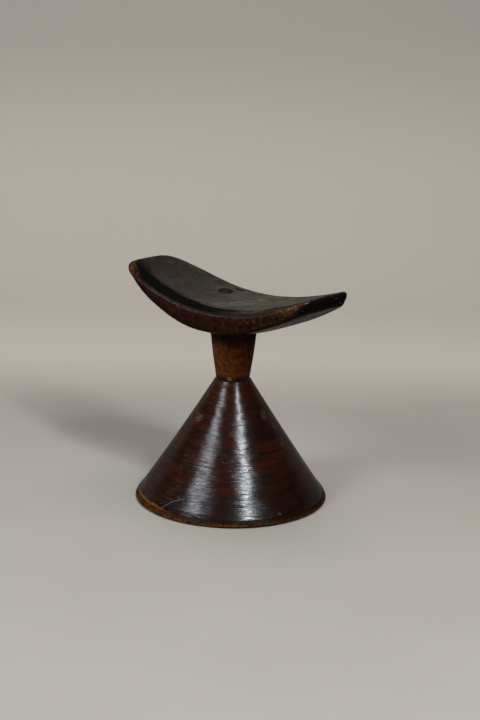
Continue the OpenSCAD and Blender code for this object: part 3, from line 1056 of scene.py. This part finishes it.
class PillowShape:
    """The pillow's surface, as a function of the way round it and the way over its edge."""

    TOP_ROWS, ARRIS_ROWS, WALL_ROWS, UNDER_ROWS = 56, 14, 22, 34
    # How square each corner is, seen from above: left or right, near or far
    SQUARE = {"left near": 4.1, "right near": 3.9, "left far": 3.3, "right far": 4.2}
    FLARE = 0.085
    LEFT_ARRIS, RIGHT_ARRIS = 7.6 * MM, 2.4 * MM
    LEFT_UNDERCUT, RIGHT_UNDERCUT = -1.0 * MM, 1.5 * MM
    CURL = 0.07
    THINNEST = 7.0 * MM
    # Rise in mm of the cradle's long edges over its middle line: middle, left end, right end
    NEAR_EDGE = (-1.0, 3.1, -1.5)
    FAR_EDGE = (0.6, -1.9, -1.6)
    # How far the side bulges out between its two arrises
    BULGE = 0.5 * MM

    def __init__(self, sizes):
        self.sizes = sizes

    def bowed(self, x, bow, lean, curl):
        """Rise of a bowed line: a parabola, leaned to one side and flattened near its ends."""
        t = x / self.sizes.half_length
        return bow * ((1 + curl) * t ** 2 - curl * t ** 4) - lean * t ** 3

    def cradle(self, x, y):
        s = self.sizes
        t = np.clip(x / s.half_length, -1, 1)
        left, right = np.clip(-t, 0, 1), np.clip(t, 0, 1)
        near = np.clip(-y / s.half_width, 0, 1) ** 3
        far = np.clip(y / s.half_width, 0, 1) ** 3
        middle, at_left, at_right = self.NEAR_EDGE
        near_edge = at_left * left ** 1.5 + at_right * right ** 2 + middle
        middle, at_left, at_right = self.FAR_EDGE
        far_edge = middle + at_left * left ** 2 + at_right * right ** 2
        rise = self.bowed(x, s.cradle_bow, s.cradle_lean, self.CURL)
        return s.cradle_height + rise + (near * near_edge + far * far_edge) * MM

    def underside(self, x, y):
        s = self.sizes
        left = np.clip(-x / s.half_length, 0, 1)
        crown = s.belly_crown + (s.left_crown - s.belly_crown) * left
        rise = self.bowed(x, s.belly_bow, s.belly_lean, -self.CURL)
        low = s.cradle_height - s.thickness + rise + crown * (np.abs(y) / s.half_width) ** 3
        return np.minimum(low, self.cradle(x, y) - self.THINNEST)

    def arris(self, x):
        """Radius of the upper edge, which is rounder at the left end."""
        s = self.sizes
        t = np.clip(x / s.half_length, -1, 1)
        end = np.where(t < 0, self.LEFT_ARRIS, self.RIGHT_ARRIS)
        return s.arris + (end - s.arris) * t ** 4

    def outline(self, turn, inset_x, inset_y):
        s = self.sizes
        c, n = np.cos(turn), np.sin(turn)
        near = np.where(c > 0, self.SQUARE["right near"], self.SQUARE["left near"])
        far = np.where(c > 0, self.SQUARE["right far"], self.SQUARE["left far"])
        square = np.where(n < 0, near, far)
        x = np.sign(c) * np.abs(c) ** (2 / square) * (s.half_length - inset_x)
        y = np.sign(n) * np.abs(n) ** (2 / square) * (s.half_width - inset_y)
        return x, y * (1 + self.FLARE * (x / s.half_length) ** 2)

    def inner(self, turn, inset_x, inset_y, share):
        """The outline drawn in towards the middle line; share 0 is on that line."""
        s = self.sizes
        x, y = self.outline(turn, inset_x, inset_y)
        keep = 1 - s.half_width / s.half_length
        return x * (keep + (1 - keep) * share), y * share

    def rows(self, turn):
        """Every row from the cradle's middle line, over the edge, to the belly's.

        A row holds x, y and z, then its wall, under and edge masks."""
        s = self.sizes
        made = []
        full_x, _ = self.outline(turn, 0.0, 0.0)
        r, q = self.arris(full_x), s.lower_arris
        end = np.where(full_x < 0, self.LEFT_UNDERCUT, self.RIGHT_UNDERCUT)
        for share in np.linspace(0, 1, self.TOP_ROWS, endpoint=False):
            x, y = self.inner(turn, r, r, share)
            made.append((x, y, self.cradle(x, y), 0.0, 0.0, soft_step(share, 0.66, 0.88) * 0.5))
        for t in np.linspace(0, math.pi / 2, self.ARRIS_ROWS, endpoint=False):
            inset = r * (1 - math.sin(t))
            x, y = self.outline(turn, inset, inset)
            z = self.cradle(x, y) - r * (1 - math.cos(t))
            made.append((x, y, z, t / (math.pi / 2), 0.0, 0.5 + 0.5 * math.sin(2 * t)))
        for w in np.linspace(0, 1, self.WALL_ROWS, endpoint=False):
            bulge = -self.BULGE * 4 * w * (1 - w)
            x, y = self.outline(turn, end * w + bulge, s.undercut * w + bulge)
            z = (self.cradle(x, y) - r) * (1 - w) + (self.underside(x, y) + q) * w
            edge = max(0.5 - 3 * w, 0.4 - 3 * (1 - w), 0.0)
            made.append((x, y, z, 1.0, 0.0, edge))
        for t in np.linspace(0, math.pi / 2, self.ARRIS_ROWS, endpoint=False):
            inset = q * (1 - math.cos(t))
            x, y = self.outline(turn, end + inset, s.undercut + inset)
            z = self.underside(x, y) + q * (1 - math.sin(t))
            made.append((x, y, z, 1 - t / (math.pi / 2), t / (math.pi / 2), 0.5))
        for share in np.linspace(1, 0, self.UNDER_ROWS):
            x, y = self.inner(turn, end + q, s.undercut + q, share)
            made.append((x, y, self.underside(x, y), 0.0, 1.0, 0.0))
        return made

    def mesh(self, name):
        turn = np.linspace(0, math.tau, self.sizes.around, endpoint=False)
        # Half a step on, so that no point sits on the outline's flat poles
        turn += math.pi / self.sizes.around
        rows = self.rows(turn)
        count = len(turn)
        points = np.concatenate([np.stack([x, y, z], 1) for x, y, z, *_ in rows])
        masks = [np.concatenate([np.broadcast_to(row[k], count) for row in rows])
                 for k in (3, 4, 5)]
        faces = [(a * count + i, a * count + (i + 1) % count,
                  (a + 1) * count + (i + 1) % count, (a + 1) * count + i)
                 for a in range(len(rows) - 1) for i in range(count)]
        mesh = bpy.data.meshes.new(name)
        mesh.from_pydata(points.tolist(), [], faces)
        for title, values in zip(("wall", "under", "edge"), masks):
            set_mask(mesh, title, values)
        return mesh


def close_middle_line(mesh):
    """Joins the two sides of the middle lines and turns the faces out."""
    shell = bmesh.new()
    shell.from_mesh(mesh)
    bmesh.ops.remove_doubles(shell, verts=shell.verts, dist=0.00001)
    bmesh.ops.recalc_face_normals(shell, faces=shell.faces)
    if shell.calc_volume(signed=True) < 0:
        bmesh.ops.reverse_faces(shell, faces=shell.faces)
    for face in shell.faces:
        face.smooth = True
    shell.to_mesh(mesh)
    shell.free()


def read_mask(mesh, name):
    values = np.empty(len(mesh.vertices), np.float32)
    mesh.attributes[name].data.foreach_get("value", values)
    return values.astype(float)


def blob(points, centre, reach):
    """1 at the centre, fading out at the given reach."""
    away = np.linalg.norm(points - np.array(centre), axis=1)
    return np.exp(-(away / reach) ** 2)


# Rubbed corners of the pillow: place and reach in mm
CORNERS = (((-74, -32, 160), 14), ((-84, -24, 166), 11), ((-87, -8, 168), 9),
           ((80, -33, 163), 8), ((84, -28, 164), 6), ((-70, 32, 163), 6),
           ((82, 33, 162), 6))


def paint_pillow_masks(mesh):
    """Masks for bare golden wood with a painted light line on the far upper edge, for the dark
    ring and dent at the knot, and for the dark end grain at the right."""
    points, normals = mesh_points(mesh), mesh_normals(mesh)
    wall = read_mask(mesh, "wall")
    near = soft_step(-normals[:, 1], 0.3, 0.8)
    gold = wall * near * soft_step(points[:, 0], -35 * MM, 50 * MM) * 0.44
    for place, reach in CORNERS:
        gold += blob(points, np.array(place) * MM, reach * MM) * np.minimum(1, wall * 4) * 0.44
    edge = soft_step(read_mask(mesh, "edge"), 0.6, 0.95)
    # Painted light: a lit line along the left half of the far upper edge, laid into the golden wood
    lit_far_edge = soft_step(points[:, 1], 10 * MM, 25 * MM)
    lit_far_edge = lit_far_edge * soft_step(-points[:, 0], -10 * MM, 10 * MM)
    right_line = near * soft_step(points[:, 0], 55 * MM, 70 * MM)
    gold += edge * (0.42 * lit_far_edge + 0.40 * right_line)
    askew = np.array(((0.8, 0.6, 0), (-0.6, 0.8, 0), (0, 0, 1)))
    nick = (points - np.array(NICK_PLACE)) @ askew
    gold += blob(nick * np.array((2.2, 0.8, 0.5)), (0, 0, 0), 1.3 * MM) * 1.4
    set_mask(mesh, "gold", gold)
    knot = np.linalg.norm(points[:, :2] - np.array([KNOT_PLACE.x, KNOT_PLACE.y]), axis=1)
    ring = np.exp(-((knot - 4.3 * MM) / (0.75 * MM)) ** 2)
    round_knot = np.arctan2(points[:, 1] - KNOT_PLACE.y, points[:, 0] - KNOT_PLACE.x)
    ring *= 0.60 + 0.40 * np.cos(2 * (round_knot - math.radians(35)))
    crescent = blob((points - np.array(CRESCENT_PLACE)) * (0.4, 1.0, 0.3),
                    (0.0, 0.0, 0.0), 1.1 * MM)
    on_top = points[:, 2] > 145 * MM
    set_mask(mesh, "pit", np.maximum(ring, crescent) * on_top)
    right = soft_step(normals[:, 0], 0.45, 0.8) * soft_step(points[:, 0], 70 * MM, 82 * MM)
    set_mask(mesh, "end_grain", right * wall)


def carve_pillow_marks(mesh):
    """Hand work and damage: slow swells, tool marks on the sides, a groove inside the near
    edge, two dents and the knot's bed."""
    points, normals = mesh_points(mesh), mesh_normals(mesh)
    wall, under, edge = (read_mask(mesh, name) for name in ("wall", "under", "edge"))
    top = (1 - wall) * (1 - under)
    swell, ripple, tool_mark, streak = 0.30 * MM, 0.12 * MM, 0.16 * MM, 0.05 * MM
    push = swell * lumps(points, 26 * MM, 1)
    push += ripple * lumps(points, 8 * MM, 2) * (0.35 + 0.65 * wall)
    upright = points * np.array([1.0, 1.0, 0.16])
    push += tool_mark * lumps(upright, 2.6 * MM, 3) * wall
    lengthwise = points * np.array([0.08, 1.0, 1.0])
    push += streak * lumps(lengthwise, 2.2 * MM, 4) * (1 - wall)
    away = np.linalg.norm(points[:, :2] - np.array([KNOT_PLACE.x, KNOT_PLACE.y]), axis=1)
    bed_depth, bank, groove_depth = 0.9 * MM, 0.2 * MM, 0.5 * MM
    push -= bed_depth * (1 - soft_step(away, 3.6 * MM, 5.2 * MM)) * top
    push += bank * np.exp(-((away - 6.0 * MM) / (1.3 * MM)) ** 2) * top
    groove = edge * 2 * (1 - soft_step(edge, 0.5, 0.8)) * top
    push -= groove_depth * groove * soft_step(-points[:, 1], 10 * MM, 20 * MM)
    push -= dent(points, CRESCENT_PLACE, (2.6 * MM, 1.1 * MM, 4 * MM), 0.7 * MM)
    push -= dent(points, NICK_PLACE, (1.6 * MM, 1.6 * MM, 3.0 * MM), 0.5 * MM)
    move_points(mesh, points + normals * push[:, None])


# ------------------------------------------------------------------ studio

def area_light(name, azimuth, elevation, distance, size, watts, colour, target, mirrored):
    """A soft light, placed by its direction from the target. A light that isn't mirrored
    leaves no streak on polished wood."""
    lamp = bpy.data.lights.new(name, "AREA")
    lamp.shape = "RECTANGLE"
    lamp.size, lamp.size_y = size
    lamp.energy = watts
    lamp.color = colour
    holder = bpy.data.objects.new(name, lamp)
    toward = Vector((math.sin(azimuth) * math.cos(elevation),
                     -math.cos(azimuth) * math.cos(elevation), math.sin(elevation)))
    holder.location = Vector(target) + toward * distance
    holder.rotation_mode = "QUATERNION"
    holder.rotation_quaternion = toward.to_track_quat("Z", "Y")
    holder.visible_glossy = mirrored
    bpy.context.scene.collection.objects.link(holder)
    return holder


def paper_material(colour, away):
    """Pale paper with painted light: lighter behind and above the headrest. Polished wood
    mirrors the low part darker, a painted darker reflection, so that its colour isn't lost under a
    pale veil."""
    material, tree, shader = start_material("Backdrop paper")
    place = object_place(tree)
    tone = noise_value(tree, place, scale=6.0, detail=4.0)
    mixed = blend_colours(tree, remap(tree, tone, 0.3, 0.7), opaque(colour),
                          scaled(colour, 0.94))
    up = axes_of(tree, place)["Z"]
    behind = vector_maths(tree, "DOT_PRODUCT", place, away)
    mirrored = add_node(tree, "ShaderNodeLightPath").outputs["Is Glossy Ray"]
    mixed = lay_over(tree, mixed, (
        # Painted light behind and above, and a painted darker reflection of the low part
        (remap(tree, behind, 0.20, 0.42, smooth=True), 1.0, scaled(colour, 1.45)),
        (remap(tree, up, 0.08, 0.30, smooth=True), 1.0, scaled(colour, 1.15)),
        (mirrored, remap(tree, up, 0.15, 0.40, 1.0, 0.0), scaled(colour, 0.40))))
    tree.links.new(mixed, shader.inputs["Base Color"])
    shader.inputs["Roughness"].default_value = 0.9
    shader.inputs["Specular IOR Level"].default_value = 0.1
    return material


def make_backdrop(studio):
    """Floor that bends up into a wall, in line with the camera."""
    back, half_wide, bend, tall, front = 1.1, 5.0, 0.5, 2.6, 6.0
    chain = [(-front, 0.0), (back - bend, 0.0)]
    for t in np.linspace(0, math.pi / 2, 25)[1:]:
        chain.append((back - bend + bend * math.sin(t), bend * (1 - math.cos(t))))
    chain.append((back, tall))
    points = [(side, along, up) for along, up in chain for side in (-half_wide, half_wide)]
    faces = [(2 * i, 2 * i + 1, 2 * i + 3, 2 * i + 2) for i in range(len(chain) - 1)]
    mesh = bpy.data.meshes.new("backdrop")
    mesh.from_pydata(points, [], faces)
    mesh.transform(Matrix.Rotation(studio.azimuth, 4, "Z"))
    for polygon in mesh.polygons:
        polygon.use_smooth = True
    away = (-math.sin(studio.azimuth), math.cos(studio.azimuth), 0.0)
    mesh.materials.append(paper_material(studio.paper, away))
    backdrop = bpy.data.objects.new("backdrop", mesh)
    bpy.context.scene.collection.objects.link(backdrop)
    return backdrop


def make_camera(studio):
    lens = bpy.data.cameras.new("Studio camera")
    lens.lens = studio.lens
    lens.clip_start, lens.clip_end = 0.05, 20.0
    camera = bpy.data.objects.new("Studio camera", lens)
    place = Matrix.Rotation(studio.azimuth, 4, "Z") @ Matrix.Translation(
        (0.0, -studio.distance, studio.height))
    aim = (Matrix.Rotation(-studio.pan, 4, "Z")
           @ Matrix.Rotation(math.pi / 2 - studio.look_down, 4, "X")
           @ Matrix.Rotation(studio.roll, 4, "Z"))
    camera.matrix_world = place @ aim
    bpy.context.scene.collection.objects.link(camera)
    bpy.context.scene.camera = camera


def make_world():
    world = bpy.data.worlds.new("Studio dusk")
    world.use_nodes = True
    back = world.node_tree.nodes["Background"]
    back.inputs["Color"].default_value = (0.92, 0.95, 1.0, 1.0)
    back.inputs["Strength"].default_value = 0.025
    bpy.context.scene.world = world


# --------------------------------------------------------------- operators

def finish_piece(piece, node):
    """Seats a finished piece on the body in place of its CAD node."""
    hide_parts(node)
    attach(piece, "root")


class HEADREST_OT_stage(bpy.types.Operator):
    """Sets up the camera, the lights and the backdrop"""
    bl_idname = "headrest.stage"
    bl_label = "Set the stage"

    def execute(self, context):
        studio = context.scene.headrest_studio
        make_camera(studio)
        make_world()
        make_backdrop(studio)
        for name, turn, height, distance, size, watts, colour, target, mirrored in LIGHTS:
            area_light(name, studio.azimuth + math.radians(turn), math.radians(height),
                       distance, size, watts, colour, (0.0, 0.0, target), mirrored)
        context.scene.view_settings.view_transform = "Standard"
        return {"FINISHED"}


class HEADREST_OT_pillow(bpy.types.Operator):
    """Carves the curved pillow with its cradle, worn edges and tool marks"""
    bl_idname = "headrest.pillow"
    bl_label = "Carve the pillow"

    def execute(self, context):
        mesh = PillowShape(context.scene.headrest_pillow).mesh("pillow_carving")
        close_middle_line(mesh)
        paint_pillow_masks(mesh)
        carve_pillow_marks(mesh)
        mesh.materials.append(pillow_material(context.scene.headrest_finish))
        piece = bpy.data.objects.new("pillow_carving", mesh)
        context.scene.collection.objects.link(piece)
        finish_piece(piece, "pillow")
        return {"FINISHED"}


class HEADREST_OT_knot(bpy.types.Operator):
    """Sets the small round knot in the cradle"""
    bl_idname = "headrest.knot"
    bl_label = "Set the knot"

    def execute(self, context):
        radius, deep = (KNOT_HIGH.x - KNOT_LOW.x) / 2 - 0.2 * MM, 5.0 * MM
        crown = 0.5 * MM
        side = stretch_of((radius, -deep), (radius, -crown), 6)
        steps = np.linspace(0, math.pi / 2, 16)
        dome = [(radius * math.cos(t), -crown + crown * math.sin(t)) for t in steps]
        profile = [(0.0, -deep), *stretch_of((radius / 2, -deep), (radius, -deep), 2),
                   *side, *dome[:-1], (0.0, 0.0)]
        pillow = PillowShape(context.scene.headrest_pillow)
        seat = float(pillow.cradle(np.array([KNOT_PLACE.x]), np.array([KNOT_PLACE.y]))[0])
        place = (KNOT_PLACE.x, KNOT_PLACE.y, seat - 0.1 * MM)
        piece = turn_profile(context, "heart_knot_wood", profile,
                             knot_material(context.scene.headrest_finish),
                             wobble=1.2, rings=0.0, place=place, around=96)
        finish_piece(piece, "heart_knot")
        return {"FINISHED"}


class HEADREST_OT_neck(bpy.types.Operator):
    """Turns the tapered neck, with the carved line at its foot"""
    bl_idname = "headrest.neck"
    bl_label = "Turn the neck"

    def execute(self, context):
        foot, top = NECK_LOW.z, NECK_HIGH.z
        foot_radius, top_radius = 12.5 * MM, 17.5 * MM
        sunk, groove, groove_height, swelling = 1.5 * MM, 0.35 * MM, 1.8 * MM, 0.25 * MM
        line = [(0.0, foot - sunk), (foot_radius * 0.6, foot - sunk),
                (foot_radius - groove, foot - sunk)]
        line += stretch_of((foot_radius - groove, foot), (foot_radius, foot + groove_height), 8)
        end = top + 2 * MM      # just inside the pillow
        side = stretch_of((foot_radius, foot + groove_height), (top_radius, end), 110)
        line += bowed_out(side, swelling)
        line += [(top_radius, end), (top_radius * 0.5, end), (0.0, end)]
        piece = turn_profile(context, "neck_column", line,
                             neck_material(context.scene.headrest_finish),
                             wobble=1.6, rings=0.8, around=260)
        finish_piece(piece, "neck")
        return {"FINISHED"}


class HEADREST_OT_cone(bpy.types.Operator):
    """Turns the cone, with its hollow sides and rounded shoulder"""
    bl_idname = "headrest.cone"
    bl_label = "Turn the cone"

    def execute(self, context):
        low, high, edge = CONE_LOW.z, CONE_HIGH.z, EDGE_RADIUS
        top_radius, hollow, bevel = 12.9 * MM, 0.6 * MM, 0.6 * MM
        shoulder = (65.9 * MM, 7.9 * MM)
        line = [(0.0, low), (edge * 0.5, low), (edge * 0.9, low), (edge - 0.2 * MM, low)]
        line += round_corner((edge - 0.1 * MM, low), (edge - 1.4 * MM, low + 1.3 * MM),
                             shoulder, 1.8 * MM, 10)
        side = stretch_of(shoulder, (top_radius, high - bevel), 230)
        line += bowed_out(side, -hollow)
        line += [(top_radius, high - bevel), (top_radius - 0.5 * MM, high),
                 (top_radius * 0.7, high), (0.0, high)]
        piece = turn_profile(context, "cone_body", line,
                             cone_material(context.scene.headrest_finish))
        finish_piece(piece, "cone_base")
        return {"FINISHED"}


class HEADREST_OT_rim(bpy.types.Operator):
    """Turns the worn band round the foot"""
    bl_idname = "headrest.rim"
    bl_label = "Turn the rim"

    def execute(self, context):
        top, edge = RIM_HIGH.z, EDGE_RADIUS
        ring, dish, slope = BASE_RADIUS - 12 * MM, 2 * MM, 8 * MM
        eased = (BASE_RADIUS - 1.8 * MM, 0.0)
        widest = (BASE_RADIUS, 1.3 * MM)
        rubbed = (BASE_RADIUS - 0.9 * MM, 3.2 * MM)
        flat = (BASE_RADIUS - 5 * MM, 0.0)
        line = [(0.0, dish), ((ring - slope) * 0.5, dish), (ring - slope, dish), (ring, 0.0),
                flat]
        line += stretch_of(eased, widest, 8)
        line += stretch_of(widest, rubbed, 10)
        line += stretch_of(rubbed, (edge, top), 10)
        line += [(edge, top), (edge * 0.9, top), (edge * 0.5, top), (0.0, top)]
        piece = turn_profile(context, "worn_rim", line,
                             rim_material(context.scene.headrest_finish), around=480)
        finish_piece(piece, "foot_rim")
        return {"FINISHED"}


STEPS = (HEADREST_OT_stage, HEADREST_OT_pillow, HEADREST_OT_knot, HEADREST_OT_neck,
         HEADREST_OT_cone, HEADREST_OT_rim)


class HEADREST_PT_panel(bpy.types.Panel):
    """Lists the headrest's settings and steps"""
    bl_idname = "HEADREST_PT_panel"
    bl_label = "Headrest"
    bl_space_type = "VIEW_3D"
    bl_region_type = "UI"
    bl_category = "Headrest"

    def draw(self, context):
        for name, group in SETTINGS.items():
            box = self.layout.box()
            box.label(text=group.__doc__.rstrip("."))
            settings = getattr(context.scene, name)
            for title in group.__annotations__:
                box.prop(settings, title)
        for step in STEPS:
            self.layout.operator(step.bl_idname)


def register():
    for name, group in SETTINGS.items():
        bpy.utils.register_class(group)
        setattr(bpy.types.Scene, name, PointerProperty(type=group))
    for step in (*STEPS, HEADREST_PT_panel):
        bpy.utils.register_class(step)


def unregister():
    for step in reversed((*STEPS, HEADREST_PT_panel)):
        bpy.utils.unregister_class(step)
    for name, group in reversed(SETTINGS.items()):
        delattr(bpy.types.Scene, name)
        bpy.utils.unregister_class(group)


def main():
    register()
    for make_effect in EFFECTS:
        make_effect()
    for step in STEPS:
        group, name = step.bl_idname.split(".")
        getattr(getattr(bpy.ops, group), name)()


if __name__ == "__main__":
    main()
